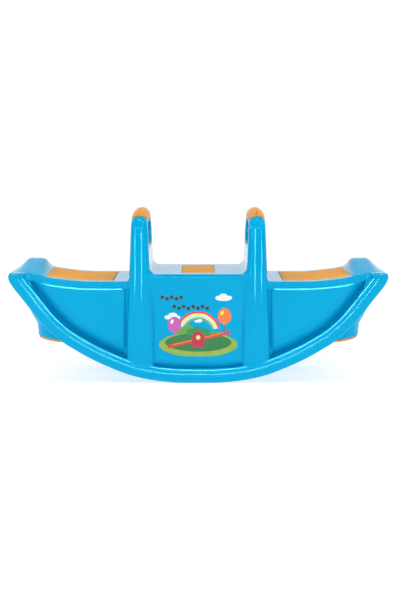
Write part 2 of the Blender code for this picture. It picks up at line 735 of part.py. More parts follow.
# -------------------------------------------------------------- printed films
for side, name in ((-1, "near_picture_film"), (1, "far_picture_film")):
    half_height = (DECAL_TOP - DECAL_BOTTOM) / 2
    middle_z = (DECAL_TOP + DECAL_BOTTOM) / 2
    outline = [(x, middle_z + z) for x, z in rounded_plan(DECAL_HALF_X, half_height, DECAL_CORNER)]
    inner_face = CENTRE_PANEL_HALF + GAP
    low, high = sorted((side * inner_face, side * (inner_face + DECAL_THICK)))
    film = plate(name, outline, low, high, "y")
    publish(film, name, print_film, (0, side * inner_face, middle_z))
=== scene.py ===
import math

import bmesh
import bpy
import numpy as np
from mathutils import Matrix, Vector


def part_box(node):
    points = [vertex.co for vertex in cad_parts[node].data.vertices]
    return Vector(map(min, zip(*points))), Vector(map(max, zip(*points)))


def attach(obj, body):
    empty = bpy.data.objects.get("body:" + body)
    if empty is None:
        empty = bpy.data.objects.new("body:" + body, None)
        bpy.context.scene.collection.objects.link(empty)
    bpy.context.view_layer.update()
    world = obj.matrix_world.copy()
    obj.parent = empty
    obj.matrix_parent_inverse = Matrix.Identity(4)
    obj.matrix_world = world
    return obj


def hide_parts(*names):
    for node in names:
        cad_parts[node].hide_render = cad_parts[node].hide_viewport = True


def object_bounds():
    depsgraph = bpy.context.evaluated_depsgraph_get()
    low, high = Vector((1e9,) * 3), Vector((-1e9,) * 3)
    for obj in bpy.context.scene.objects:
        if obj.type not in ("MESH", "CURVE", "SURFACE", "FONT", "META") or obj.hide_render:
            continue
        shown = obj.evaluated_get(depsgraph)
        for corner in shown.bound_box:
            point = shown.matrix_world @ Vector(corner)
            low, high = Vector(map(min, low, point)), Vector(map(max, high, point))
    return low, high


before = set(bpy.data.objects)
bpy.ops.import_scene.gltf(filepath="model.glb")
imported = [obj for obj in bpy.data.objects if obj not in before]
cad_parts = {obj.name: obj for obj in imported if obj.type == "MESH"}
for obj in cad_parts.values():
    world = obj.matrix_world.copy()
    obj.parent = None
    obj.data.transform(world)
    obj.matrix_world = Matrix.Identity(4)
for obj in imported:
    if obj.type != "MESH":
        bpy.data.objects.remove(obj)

cad_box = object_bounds()
half_length = (cad_box[1][0] - cad_box[0][0]) / 2
half_width = (cad_box[1][1] - cad_box[0][1]) / 2

# ---------------------------------------------------------------- dimensions
# A value named ..._HALF or ..._FACE is measured from the centre plane, across the seesaw.
GAP = 0.0003                 # play left between touching pieces
SOLE_BAND = 0.027            # height of the outer band of the sole
LEDGE_BAND = 0.039           # height of the inner ledge of the sole
LEDGE_HALF = 0.1445
BAND_CHAMFER = 0.0044        # flat chamfers along the rims of the sole
LEDGE_CHAMFER = 0.0050
DECK_HALF = 0.1265
VALLEY_HALF = 0.1110         # bottom of the valleys beside the posts
ROOT_REACH = 0.047           # a shallow strip runs this far to both sides of a post's middle
ROOT_RISE = 0.008            # it starts this far above the ledge
WING_ROOT_FACE = 0.1225
CENTRE_ROOT_FACE = 0.1296
LEDGE_TUCK = 0.0015          # inner forms start this far inside the sole's skin
CORE_TUCK = 0.020
ARCH_TUCK = 0.030
PANEL_HALF = 0.1335
PANEL_START_X = 0.2085
PANEL_END_X = 0.4595         # a point on the slanted outer end of a side panel
PANEL_END_Z = 0.231
PANEL_END_OUT = 0.949        # its outward direction along +X and -Z
PANEL_END_DOWN = 0.316
PANEL_FADE_X = 0.222         # beside a post a side panel curves back between these two
PANEL_FADE_END_X = 0.2065
CENTRE_PANEL_HALF = 0.1325
MIDDLE_END_X = 0.1285        # end of the middle panel, along X
MIDDLE_DROP = 0.0048         # the middle panel ends this far below its deck
SEAT_Z = 0.292               # end seats
CENTRE_Z = 0.313             # middle seat
TIP_Z = 0.3192               # top edge of both tips
LIP_RISE = 0.030             # crown of the end lips above their edges
RIDGE_SOFTNESS = 0.16        # rounding of the lips' ridge, as a share of the half width
RIDGE_FALL = math.hypot(1.0, RIDGE_SOFTNESS) - RIDGE_SOFTNESS
EDGE_BAND = 0.0190           # height of the plain band under the deck edge
SHOULDER = 0.0065            # flat chamfer along the top of a side panel
SHOULDER_TILT = math.radians(42.0)
PANEL_ROLL = 0.045           # height over which a side panel curves back above the sole
PANEL_TUCK = 0.026           # how far it curves back
PANEL_SIDE_TUCK = 0.008      # how far it curves back beside a post
MIDDLE_ROLL = 0.024          # the same two for the middle panel
MIDDLE_TUCK = 0.011

# Radii of the body's rounded edges and inner corners.
BAND_ROUND = 0.0042
RIM_ROUND = 0.0012
CHAMFER_ROUND = 0.0010
EDGE_ROUND = 0.0020
FORM_ROUND = 0.0030
CORNER_ROUND = 0.0040
MIDDLE_ROUND = 0.0042
PANEL_CORNER = 0.006
WEB_ROUND = 0.0025
DECK_ROUND = 0.0036
LINE_FILLET = 0.0016
PANEL_FILLET = 0.0022
WING_SEAT_FILLET = 0.0125
CENTRE_SEAT_FILLET = 0.0215
SEAT_FILLET_DROP = 0.006     # these two broaden from so far below the deck's edge
SEAT_FILLET_RISE = 0.004     # to so far above it,
SEAT_FILLET_FACE = 0.1335    # and from here in to the deck's edge
FOOT_FILLET = 0.006
ARCH_ROUND = 0.0110          # doubles over the span below, up the arch
ARCH_ROUND_SPAN = (0.440, 0.485)
HOLE_ROUND = 0.0080
GRIP_ROUND = 0.0008
FOOT_ROUND = 0.0016

HANDLE_X = 0.168             # handle centre, from the middle
HANDLE_TOP = 0.4940
HANDLE_SHOULDER = 0.436      # where the arch starts to round over
HANDLE_HALF_Y = 0.1265       # arch half span at the shoulder
POST_Z = 0.340               # height at which the half thickness of the posts is given
POST_HALF_THICK = 0.0284
POST_TAPER = 0.041           # loss of half thickness per metre of height
POST_BULGE = 0.0030          # how much the posts' faces round away at their sides
BULGE_SPAN = (0.05, 0.09)    # the bulge grows between these distances from the centre plane
ARCH_SIDE_POWER = 0.62       # these two shape the curve of the arch over its shoulder
ARCH_CROWN_POWER = 0.85
ARCH_STEPS = 24
HOLE_HALF_Y = 0.100
HOLE_BOTTOM = 0.384
HOLE_TOP = 0.4560
HOLE_RADIUS = 0.0355
GRIP_END_Y = 0.1040          # where the grips end on the top outline of the arch
GRIP_END_Z = 0.4765
GRIP_CUT = math.atan(2.14)   # lean of the grips' end faces from level
GRIP_THICK = 0.0028
GRIP_PROUD = 0.0004          # the grips stand this much proud of the arch
GRIP_RIBS = 26               # fine ribs round a grip
GRIP_RIB_HEIGHT = 0.00025

PAD_INNER = 0.2455           # end pads, along X
PAD_OUTER = 0.437
PAD_HALF_Y = 0.100
CENTRE_PAD_HALF_X = 0.0475
CENTRE_PAD_HALF_Y = 0.090
PAD_THICK = 0.0028
PAD_PROUD = 0.0009
PAD_BORDER = 0.0065          # inset of the groove that frames each pad
PAD_GROOVE = 0.0014          # half width of that groove
PAD_GROOVE_DEPTH = 0.0004
PAD_SOFT = 0.0011            # width and depth of the pads' softened edges
PAD_SOFT_DEPTH = 0.0007
RECESS_EDGE = (0.0001, 0.0009)     # the pads' recesses end between these, outside the pads

FOOT_X = 0.427               # middle of a stop foot
FOOT_RADIUS = 0.0490
STOP_ANGLE = math.radians(9.0)     # lean of the foot caps from level
FOOT_EDGE_Z = 0.1105         # outer edge of the foot cap
FOOT_ROOT_Z = 0.25           # the feet end inside the body at this height
FLARE_SCALE = 0.86           # turns the level distance from the flare into the shortest one
CAP_THICK = 0.0060
CAP_GROOVES = (0.014, 0.030, 0.040)
CAP_GROOVE_DEPTH = 0.0011
CAP_RIM = 0.0022             # radius of the cap's rounded rim
CAP_SINK_RADIUS = 0.0048     # sunk seats of the cap screws
CAP_SINK_DEPTH = 0.0031
CAP_SCREW_Y = 0.024
SCREW_SEAT_Y = 0.012         # depth of the shell screws' seats beyond the centre plane
WELL_RADIUS = 0.0050         # wells that lead to them

# Rocking curve of the sole, from the middle round the tip (x, z).
SOLE_STATIONS = [
    (-0.050, 0.0000), (0.000, 0.0000), (0.050, 0.0000), (0.100, 0.0039), (0.150, 0.0114),
    (0.200, 0.0241), (0.250, 0.0436), (0.300, 0.0665), (0.350, 0.0945), (0.400, 0.1280),
    (0.450, 0.1780), (0.500, 0.2425), (0.526, 0.2762), (0.5375, 0.2954), (half_length, 0.3081),
    (0.5355, TIP_Z), (0.520, 0.345),
]
# Edge of the end deck, from the handle out to the tip (x, z).
DECK_STATIONS = [
    (0.186, SEAT_Z), (0.212, SEAT_Z), (0.300, SEAT_Z), (0.340, 0.2932), (0.396, 0.2990),
    (0.425, 0.3033), (0.454, 0.3091), (0.482, 0.3150), (0.505, 0.3184), (0.5355, TIP_Z),
    (0.560, TIP_Z),
]
# Share of the lip's crown along its length (x, share).
LIP_SHARE = [
    (0.410, 0.0), (0.420, 0.0), (0.430, 0.0), (0.437, 0.10), (0.4415, 0.42), (0.446, 0.80), (0.4495, 1.02),
    (0.455, 1.16), (0.464, 1.16), (0.474, 1.10), (0.484, 1.03), (0.494, 0.985), (0.504, 0.84), (0.514, 0.54),
    (0.5235, 0.20), (0.530, 0.05), (0.536, 0.0), (0.560, 0.0),
]
# Front edge of the arch below its shoulder (distance from the centre plane, z).
ARCH_FRONT = [(0.1470, -0.100), (0.1425, 0.030), (0.1415, 0.122), (0.1380, 0.223), (0.1335, 0.324),
              (0.1290, 0.405)]
FOOT_PROFILE = [              # height and radius, flaring up into the sole
    (0.061, 0.0495), (0.1317, 0.0520), (0.1520, 0.0540), (0.1621, 0.0590), (0.1763, 0.0670),
    (0.192, 0.0740), (0.208, 0.0776), (0.270, 0.0780),
]


# -------------------------------------------------------------- line helpers
def smooth_line(stations, per_span=8):
    """Catmull-Rom line through the stations."""
    points = [Vector(s) for s in stations]
    line = []
    for i in range(len(points) - 1):
        p0, p1 = points[max(i - 1, 0)], points[i]
        p2, p3 = points[i + 1], points[min(i + 2, len(points) - 1)]
        for step in range(per_span):
            t = step / per_span
            spot = 0.5 * ((2 * p1) + (p2 - p0) * t + (2 * p0 - 5 * p1 + 4 * p2 - p3) * t * t
                          + (3 * p1 - p0 - 3 * p2 + p3) * t ** 3)
            line.append((spot.x, spot.y))
    line.append(tuple(points[-1]))
    return np.array(line)


def along(stations, values):
    """Smoothly interpolated second coordinate of the stations."""
    line = smooth_line(stations)
    return np.interp(values, line[:, 0], line[:, 1])


class LineField:
    """Signed distance from an open line, positive on its left, sampled on a fine grid."""

    def __init__(self, line, low, high, step=0.001):
        self.low, self.step = low, step
        a = np.arange(low[0], high[0] + step, step)
        b = np.arange(low[1], high[1] + step, step)
        grid_a, grid_b = np.meshgrid(a, b, indexing="ij")
        best = np.full(grid_a.shape, 1e9)
        signed = np.zeros(grid_a.shape)
        for start, end in zip(line, line[1:]):
            da, db = end - start
            pa, pb = grid_a - start[0], grid_b - start[1]
            t = np.clip((pa * da + pb * db) / (da * da + db * db), 0.0, 1.0)
            away = np.hypot(pa - t * da, pb - t * db)
            side = da * pb - db * pa
            closer = away < best - 1e-9
            best = np.where(closer, away, best)
            signed = np.where(closer, np.copysign(away, side), signed)
        self.grid = signed.astype(np.float32)

    def __call__(self, a, b):
        i = np.clip((a - self.low[0]) / self.step, 0, self.grid.shape[0] - 1.001)
        j = np.clip((b - self.low[1]) / self.step, 0, self.grid.shape[1] - 1.001)
        i, j = np.broadcast_arrays(i, j)
        i0, j0 = i.astype(np.int32), j.astype(np.int32)
        u, w = i - i0, j - j0
        g = self.grid
        return ((g[i0, j0] * (1 - u) + g[i0 + 1, j0] * u) * (1 - w)
                + (g[i0, j0 + 1] * (1 - u) + g[i0 + 1, j0 + 1] * u) * w)


def both(a, b, r):
    """Intersection with a rounded edge of radius r."""
    return np.minimum(-r, np.maximum(a, b)) + np.hypot(np.maximum(a + r, 0), np.maximum(b + r, 0))


def either(a, b, r):
    """Union with a concave fillet of radius r."""
    return np.maximum(r, np.minimum(a, b)) - np.hypot(np.maximum(r - a, 0), np.maximum(r - b, 0))


def ease(low, high, value):
    t = np.clip((value - low) / (high - low), 0.0, 1.0)
    return t * t * (3 - 2 * t)


# ---------------------------------------------------------------- body field
sole_field = LineField(smooth_line(SOLE_STATIONS), (-0.02, -0.02), (0.56, 0.54))
arch_top = [(HANDLE_HALF_Y * math.cos(a) ** ARCH_SIDE_POWER,
             HANDLE_SHOULDER + (HANDLE_TOP - HANDLE_SHOULDER) * math.sin(a) ** ARCH_CROWN_POWER)
            for a in (math.radians(90 * i / ARCH_STEPS) for i in range(ARCH_STEPS))]
arch_line = ARCH_FRONT + arch_top + [(0.0, HANDLE_TOP)]
arch_line += [(-y, z) for y, z in reversed(arch_top[-4:])]
arch_field = LineField(np.array(arch_line), (-0.01, -0.02), (0.16, 0.54))


def deck_z(x):
    """Height of the deck's edge."""
    wing = along(DECK_STATIONS, x)
    return CENTRE_Z + (wing - CENTRE_Z) * ease(0.150, 0.184, x)


def seat_z(x, v):
    """Deck surface with the crowned lip, before the pad recesses."""
    ridge = (np.hypot(v / DECK_HALF, RIDGE_SOFTNESS) - RIDGE_SOFTNESS) / RIDGE_FALL
    crown = np.maximum(1 - ridge, 0.0)
    return deck_z(x) + LIP_RISE * along(LIP_SHARE, x) * crown


def recess(x, v):
    """1 inside the seat pad recesses, 0 outside."""
    wing = np.maximum(np.abs(x - (PAD_INNER + PAD_OUTER) / 2) - (PAD_OUTER - PAD_INNER) / 2, v - PAD_HALF_Y)
    middle = np.maximum(x - CENTRE_PAD_HALF_X, v - CENTRE_PAD_HALF_Y)
    return 1 - ease(*RECESS_EDGE, np.minimum(wing, middle))


def arch_skin(x, v, z):
    """Distance from the arch handle; its edges are well rounded."""
    across = x - HANDLE_X
    sides = np.abs(across) - POST_HALF_THICK + POST_TAPER * (z - POST_Z)
    bulge = POST_BULGE * (across / POST_HALF_THICK) ** 2 * ease(*BULGE_SPAN, v)
    rim = bulge - arch_field(v, z)
    radius = ARCH_ROUND + ARCH_ROUND * ease(*ARCH_ROUND_SPAN, z)
    post = both(sides, rim, radius)
    middle_z, half_z = (HOLE_TOP + HOLE_BOTTOM) / 2, (HOLE_TOP - HOLE_BOTTOM) / 2
    qy = v - (HOLE_HALF_Y - HOLE_RADIUS)
    qz = np.abs(z - middle_z) - (half_z - HOLE_RADIUS)
    hole = np.hypot(np.maximum(qy, 0), np.maximum(qz, 0)) + np.minimum(np.maximum(qy, qz), 0) - HOLE_RADIUS
    return both(post, -hole, HOLE_ROUND)


def past_grip_end(v, z):
    """Distance in from the slanted end faces of the grips."""
    return (z - GRIP_END_Z) * math.sin(GRIP_CUT) - (v - GRIP_END_Y) * math.cos(GRIP_CUT)


def arch_solid(x, v, z):
    """The arch, slimmer where the grips wrap its bar."""
    skin = arch_skin(x, v, z)
    return np.minimum(both(skin, past_grip_end(v, z), GRIP_ROUND), skin + GRIP_THICK)


def stop_plane_z(x):
    """Height of the slanted face under a foot cap."""
    return FOOT_EDGE_Z + (x - FOOT_X - FOOT_RADIUS) * math.tan(STOP_ANGLE)


def foot_solid(x, v, z):
    """Round stop foot that flares up into the sole."""
    heights, radii = zip(*FOOT_PROFILE)
    reach = (np.hypot(x - FOOT_X, v) - np.interp(z, heights, radii)) * FLARE_SCALE
    lift = (CAP_THICK + GAP) / math.cos(STOP_ANGLE)
    below = (stop_plane_z(x) + lift - z) * math.cos(STOP_ANGLE)
    return both(both(reach, below, FOOT_ROUND), z - FOOT_ROOT_Z, CHAMFER_ROUND)


def sole_solid(sole, v):
    """Outer band and inner ledge of the sole, with flat chamfers along their rims."""
    band = both(both(-sole, v - half_width, BAND_ROUND), sole - SOLE_BAND, RIM_ROUND)
    band = both(band, (sole - SOLE_BAND + v - half_width + BAND_CHAMFER) * math.sqrt(0.5), CHAMFER_ROUND)
    ledge = both(both(LEDGE_TUCK - sole, v - LEDGE_HALF, FORM_ROUND), sole - LEDGE_BAND, RIM_ROUND)
    ledge = both(ledge, (sole - LEDGE_BAND + v - LEDGE_HALF + LEDGE_CHAMFER) * math.sqrt(0.5), CHAMFER_ROUND)
    return either(band, ledge, LINE_FILLET)


def core_solid(x, v, sole):
    """Valley wall behind the panels, with a shallower strip on both sides of each post."""
    core = both(CORE_TUCK - sole, v - VALLEY_HALF, FORM_ROUND)
    root_face = v - np.where(x < HANDLE_X, CENTRE_ROOT_FACE, WING_ROOT_FACE)
    root = both(np.abs(x - HANDLE_X) - ROOT_REACH, root_face, EDGE_ROUND)
    return either(core, both(root, LEDGE_BAND + ROOT_RISE - sole, CORNER_ROUND), CORNER_ROUND)


def edge_strip(v, z, sole, edge):
    """Plain band under the deck's edge."""
    strip = both(edge - EDGE_BAND - EDGE_ROUND - z, v - DECK_HALF, EDGE_ROUND)
    return both(strip, CORE_TUCK - sole, FORM_ROUND)


def curl(sole, roll):
    """How far a panel has curved back above the ledge, from 0 to 1."""
    return np.clip((LEDGE_BAND + roll - sole) / roll, 0.0, 1.0) ** 2


def past_panel_end(x, z):
    """Distance out from the slanted outer end of a side panel."""
    return (x - PANEL_END_X) * PANEL_END_OUT - (z - PANEL_END_Z) * PANEL_END_DOWN


def side_panel(x, v, z, sole, edge):
    """Proud panel of a wing: slanted at its outer end, chamfered along its top."""
    fade = PANEL_SIDE_TUCK * ease(PANEL_FADE_X, PANEL_FADE_END_X, x)
    face = v - (PANEL_HALF - PANEL_TUCK * curl(sole, PANEL_ROLL) - fade)
    shoulder = ((z - (edge - EDGE_BAND - SHOULDER)) * math.sin(SHOULDER_TILT)
                + (v - PANEL_HALF) * math.cos(SHOULDER_TILT))
    outline = both(past_panel_end(x, z), z - (edge - EDGE_BAND), PANEL_CORNER)
    outline = both(outline, PANEL_START_X - x, CORNER_ROUND)
    panel = both(both(outline, face, CORNER_ROUND), shoulder, RIM_ROUND)
    return both(panel, CORE_TUCK - sole, FORM_ROUND)


def middle_panel(x, v, z, sole):
    """Flat panel under the middle seat, curved back above the ledge."""
    face = v - (CENTRE_PANEL_HALF - MIDDLE_TUCK * curl(sole, MIDDLE_ROLL))
    outline = both(x - MIDDLE_END_X, z - (CENTRE_Z - MIDDLE_DROP), FORM_ROUND)
    return both(both(outline, face, MIDDLE_ROUND), CORE_TUCK - sole, FORM_ROUND)


def body_solid(x, v, z):
    """Distance field of one quarter of the body (x and v = |y| not negative)."""
    sole = sole_field(x, z)
    edge = deck_z(x)
    body = either(sole_solid(sole, v), core_solid(x, v, sole), CORNER_ROUND)
    body = either(body, edge_strip(v, z, sole, edge), FORM_ROUND)
    web = both(both(-past_panel_end(x, z), v - DECK_HALF, WEB_ROUND), CORE_TUCK - sole, FORM_ROUND)
    body = either(body, web, LINE_FILLET)
    body = either(body, side_panel(x, v, z, sole, edge), PANEL_FILLET)
    body = either(body, middle_panel(x, v, z, sole), PANEL_FILLET)
    top = z - (seat_z(x, v) - (PAD_THICK - PAD_PROUD + GAP) * recess(x, v))
    body = both(body, top, DECK_ROUND)
    # Handles: broad fillets where they rise from the seats, tight ones down the sides.
    arch = both(arch_solid(x, v, z), ARCH_TUCK - sole, CORNER_ROUND)
    broad = np.where(x < HANDLE_X, CENTRE_SEAT_FILLET, WING_SEAT_FILLET)
    rise = ease(edge - SEAT_FILLET_DROP, edge + SEAT_FILLET_RISE, z) * ease(SEAT_FILLET_FACE, DECK_HALF, v)
    body = either(body, arch, PANEL_FILLET + (broad - PANEL_FILLET) * rise)
    return either(body, foot_solid(x, v, z), FOOT_FILLET)


def whole_body(x, y, z):
    """Distance field of the whole body."""
    return body_solid(np.abs(x), np.abs(y), z)


# ------------------------------------------------------------- surface mesh
FINE_IN = 0.0004             # closer grid lines run this far inside the pads' edges
FINE_OUT = 0.0014            # and this far outside them
FINE_STEP = 0.0018
LONG_STEP = 0.0037           # spacing elsewhere along X
SEAM_REACH = 0.0006          # vertices this near the parting plane are laid on it
SEAM_CUT = 0.0005            # depth of the fine line that the seam leaves


def surface_net(values, xs, ys, zs):
    """Quads on the zero surface of a grid of values, one vertex in each cell that it crosses."""
    axes = (xs, ys, zs)
    inside = values < 0
    cells = np.zeros(tuple(n - 1 for n in values.shape), dtype=np.uint8)
    for di in (0, 1):
        for dj in (0, 1):
            for dk in (0, 1):
                cells += inside[di:cells.shape[0] + di, dj:cells.shape[1] + dj, dk:cells.shape[2] + dk]
    active = np.argwhere((cells > 0) & (cells < 8))
    index = np.full(cells.shape, -1, dtype=np.int32)
    index[tuple(active.T)] = np.arange(len(active))
    total = np.zeros((len(active), 3))
    count = np.zeros(len(active))
    for axis in range(3):
        others = [a for a in range(3) if a != axis]
        for s in (0, 1):
            for t in (0, 1):
                start = active.copy()
                start[:, others[0]] += s
                start[:, others[1]] += t
                end = start.copy()
                end[:, axis] += 1
                v0 = values[tuple(start.T)]
                v1 = values[tuple(end.T)]
                crossed = (v0 < 0) != (v1 < 0)
                share = np.where(crossed, v0 / np.where(crossed, v0 - v1, 1.0), 0.0)
                spot = np.stack([axes[a][start[:, a]] for a in range(3)], axis=1).astype(float)
                spot[:, axis] += share * (axes[axis][end[:, axis]] - axes[axis][start[:, axis]])
                total += spot * crossed[:, None]
                count += crossed
    vertices = total / np.maximum(count, 1)[:, None]
    quads = []
    for axis in range(3):
        a1, a2 = (axis + 1) % 3, (axis + 2) % 3
        low = np.moveaxis(inside, axis, 0)[:-1]
        high = np.moveaxis(inside, axis, 0)[1:]
        spots = np.moveaxis(low != high, 0, axis)
        where = np.argwhere(spots)
        keep = (where[:, a1] > 0) & (where[:, a2] > 0)
        keep &= (where[:, a1] < cells.shape[a1]) & (where[:, a2] < cells.shape[a2])
        where = where[keep]
        corners = []
        for back1, back2 in ((1, 1), (0, 1), (0, 0), (1, 0)):
            cell = where.copy()
            cell[:, a1] -= back1
            cell[:, a2] -= back2
            corners.append(index[tuple(cell.T)])
        quad = np.stack(corners, axis=1)
        flip = ~inside[tuple(where.T)]
        quad[flip] = quad[flip][:, ::-1]
        quads.append(quad)
    return vertices, np.concatenate(quads)


def gradient(solid, points, step=0.0004):
    """Outward direction of a field at points, by central differences."""
    slopes = []
    for axis in range(3):
        ahead, behind = points.copy(), points.copy()
        ahead[:, axis] += step
        behind[:, axis] -= step
        slopes.append((solid(*ahead.T) - solid(*behind.T)) / (2 * step))
    return np.stack(slopes, axis=1)


def settle(solid, points, hold=None, rounds=3, limit=0.0018):
    """Move points onto the zero surface; points masked by hold keep their Y."""
    for _ in range(rounds):
        slope = gradient(solid, points)
        if hold is not None:
            slope[hold, 1] = 0.0
        size = np.maximum((slope ** 2).sum(axis=1), 0.05)
        step = solid(*points.T) / size
        move = slope * step[:, None]
        length = np.linalg.norm(move, axis=1)
        points = points - move * np.minimum(1.0, limit / np.maximum(length, 1e-9))[:, None]
    return points


def make_mesh(name, vertices, faces):
    mesh = bpy.data.meshes.new(name)
    mesh.from_pydata(vertices.tolist(), [], faces.tolist())
    mesh.update()
    return mesh


def make_object(name, mesh, mat):
    obj = bpy.data.objects.new(name, mesh)
    bpy.context.scene.collection.objects.link(obj)
    mesh.materials.clear()
    mesh.materials.append(mat)
    mesh.shade_smooth()
    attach(obj, "root")
    return obj


def close_flat(mesh):
    """Fill the flat opening at the parting plane."""
    work = bmesh.new()
    work.from_mesh(mesh)
    open_edges = [edge for edge in work.edges if len(edge.link_faces) == 1]
    if open_edges:
        bmesh.ops.triangle_fill(work, edges=open_edges, use_beauty=True, use_dissolve=False)
    bmesh.ops.recalc_face_normals(work, faces=work.faces)
    work.to_mesh(mesh)
    work.free()


def steps_through(marks):
    """Grid positions through (position, spacing) marks; each spacing holds up to the next mark."""
    line = []
    for (start, spacing), (end, _) in zip(marks, marks[1:]):
        count = max(1, round((end - start) / spacing))
        line += [start + (end - start) * i / count for i in range(count)]
    return np.array(line + [marks[-1][0]])


def half_shell(name, side, mat):
    """One half of the body, from the parting plane out to one side (-1 near, 1 far)."""
    pad_x, pad_start, pad_end = CENTRE_PAD_HALF_X, PAD_INNER, PAD_OUTER
    right = steps_through([(0.0, LONG_STEP), (pad_x - FINE_IN, FINE_STEP), (pad_x + FINE_OUT, LONG_STEP),
                           (pad_start - FINE_OUT, FINE_STEP), (pad_start + FINE_IN, LONG_STEP),
                           (pad_end - FINE_IN, FINE_STEP), (pad_end + FINE_OUT, 0.0032), (0.546, 0.003)])
    vs = steps_through([(-0.0006, 0.0012), (0.0018, 0.002), (0.0038, 0.0046),
                        (CENTRE_PAD_HALF_Y - FINE_IN, FINE_STEP), (CENTRE_PAD_HALF_Y + FINE_OUT, 0.004),
                        (PAD_HALF_Y - FINE_IN, FINE_STEP), (PAD_HALF_Y + FINE_OUT, 0.0032),
                        (0.1120, 0.0020), (0.1540, 0.002)])
    zs = steps_through([(-0.004, 0.0029), (0.282, 0.0022), (0.326, 0.0030), (0.506, 0.003)])
    quarter = body_solid(right[:, None, None], np.abs(vs)[None, :, None], zs[None, None, :])
    values = np.concatenate([quarter[:0:-1], quarter])
    xs = np.concatenate([-right[:0:-1], right])
    vertices, quads = surface_net(values, xs, vs, zs)

    seam = vertices[:, 1] < SEAM_REACH
    vertices[seam, 1] = GAP / 2
    vertices = settle(whole_body, vertices, hold=seam)
    normals = gradient(whole_body, vertices)
    normals[seam, 1] = 0.0
    normals /= np.maximum(np.linalg.norm(normals, axis=1), 1e-9)[:, None]
    vertices[seam] -= normals[seam] * SEAM_CUT
    vertices[:, 1] *= side
    if side > 0:
        quads = quads[:, ::-1]
    mesh = make_mesh(name, vertices, quads)
    close_flat(mesh)
    return make_object(name, mesh, mat)


def set_normals(obj, solid, tolerance=0.0005):
    """Shading normals from the field wherever a vertex lies on its surface."""
    mesh = obj.data
    points = np.empty(len(mesh.vertices) * 3)
    mesh.vertices.foreach_get("co", points)
    points = points.reshape(-1, 3)
    slope = gradient(solid, points)
    slope /= np.maximum(np.linalg.norm(slope, axis=1), 1e-9)[:, None]
    off = (np.abs(solid(*points.T)) > tolerance) | (np.abs(points[:, 1]) < 0.0009)
    slope[off] = 0.0
    mesh.normals_split_custom_set_from_vertices([tuple(n) for n in slope])


def apply_modifiers(obj):
    graph = bpy.context.evaluated_depsgraph_get()
    graph.update()
    mesh = bpy.data.meshes.new_from_object(obj.evaluated_get(graph))
    obj.modifiers.clear()
    old = obj.data
    obj.data = mesh
    bpy.data.meshes.remove(old)


def cylinder(radius, start, end, steps=28):
    """Closed round bar between two points, as a helper object."""
    start, end = Vector(start), Vector(end)
    mesh = bpy.data.meshes.new("bar")
    work = bmesh.new()
    bmesh.ops.create_cone(work, cap_ends=True, segments=steps, radius1=radius, radius2=radius,
                          depth=(end - start).length)
    work.to_mesh(mesh)
    work.free()
    turn = (end - start).to_track_quat("Z", "Y").to_matrix().to_4x4()
    mesh.transform(Matrix.Translation((start + end) / 2) @ turn)
    obj = bpy.data.objects.new("bar", mesh)
    bpy.context.scene.collection.objects.link(obj)
    return obj


def carve(obj, tools):
    """Cut all the tools out of an object."""
    work = bmesh.new()
    for tool in tools:
        work.from_mesh(tool.data)
        bpy.data.objects.remove(tool, do_unlink=True)
    mesh = bpy.data.meshes.new("tools")
    work.to_mesh(mesh)
    work.free()
    merged = bpy.data.objects.new("tools", mesh)
    bpy.context.scene.collection.objects.link(merged)
    step = obj.modifiers.new("Cut", "BOOLEAN")
    step.operation = "DIFFERENCE"
    step.solver = "MANIFOLD"
    step.object = merged
    apply_modifiers(obj)
    bpy.data.objects.remove(merged, do_unlink=True)


# ----------------------------------------------------------------- materials
class Shader:
    """Small helper for building a node material."""

    def __init__(self, name, colour, roughness):
        self.mat = bpy.data.materials.new(name)
        self.mat.use_nodes = True
        self.tree = self.mat.node_tree
        self.main = self.tree.nodes["Principled BSDF"]
        self.main.inputs["Base Color"].default_value = (*colour, 1.0)
        self.main.inputs["Roughness"].default_value = roughness
        self.place = self.tree.nodes.new("ShaderNodeTexCoord").outputs["Object"]

    def set(self, socket, value):
        self.main.inputs[socket].default_value = value

    def link(self, output, target):
        self.tree.links.new(output, target)

    def noise(self, scale, detail=3.0, rough=0.5):
        node = self.tree.nodes.new("ShaderNodeTexNoise")
        node.inputs["Scale"].default_value = scale
        node.inputs["Detail"].default_value = detail
        node.inputs["Roughness"].default_value = rough
        self.link(self.place, node.inputs["Vector"])
        return node.outputs["Fac"]

    def ramp(self, value, low, high, colour_low, colour_high):
        node = self.tree.nodes.new("ShaderNodeValToRGB")
        node.color_ramp.elements[0].position = low
        node.color_ramp.elements[1].position = high
        node.color_ramp.elements[0].color = (*colour_low, 1.0)
        node.color_ramp.elements[1].color = (*colour_high, 1.0)
        self.link(value, node.inputs["Fac"])
        return node.outputs["Color"]

    def spread(self, value, low, high):
        node = self.tree.nodes.new("ShaderNodeMapRange")
        node.inputs["To Min"].default_value = low
        node.inputs["To Max"].default_value = high
        self.link(value, node.inputs["Value"])
        return node.outputs["Result"]

    def math(self, operation, a, b=None, c=None):
        node = self.tree.nodes.new("ShaderNodeMath")
        node.operation = operation
        for socket, value in zip(node.inputs, (a, b, c)):
            if value is None:
                continue
            if isinstance(value, (int, float)):
                socket.default_value = value
            else:
                self.link(value, socket)
        return node.outputs["Value"]

    def axes(self):
        node = self.tree.nodes.new("ShaderNodeSeparateXYZ")
        self.link(self.place, node.inputs["Vector"])
        return node.outputs["X"], node.outputs["Y"], node.outputs["Z"]

    def bump(self, height, distance, strength=1.0, under=None):
        node = self.tree.nodes.new("ShaderNodeBump")
        node.inputs["Distance"].default_value = distance
        node.inputs["Strength"].default_value = strength
        self.link(height, node.inputs["Height"])
        if under is not None:
            self.link(under, node.inputs["Normal"])
        return node.outputs["Normal"]


def shade(colour, factor):
    return tuple(min(1.0, c * factor) for c in colour)


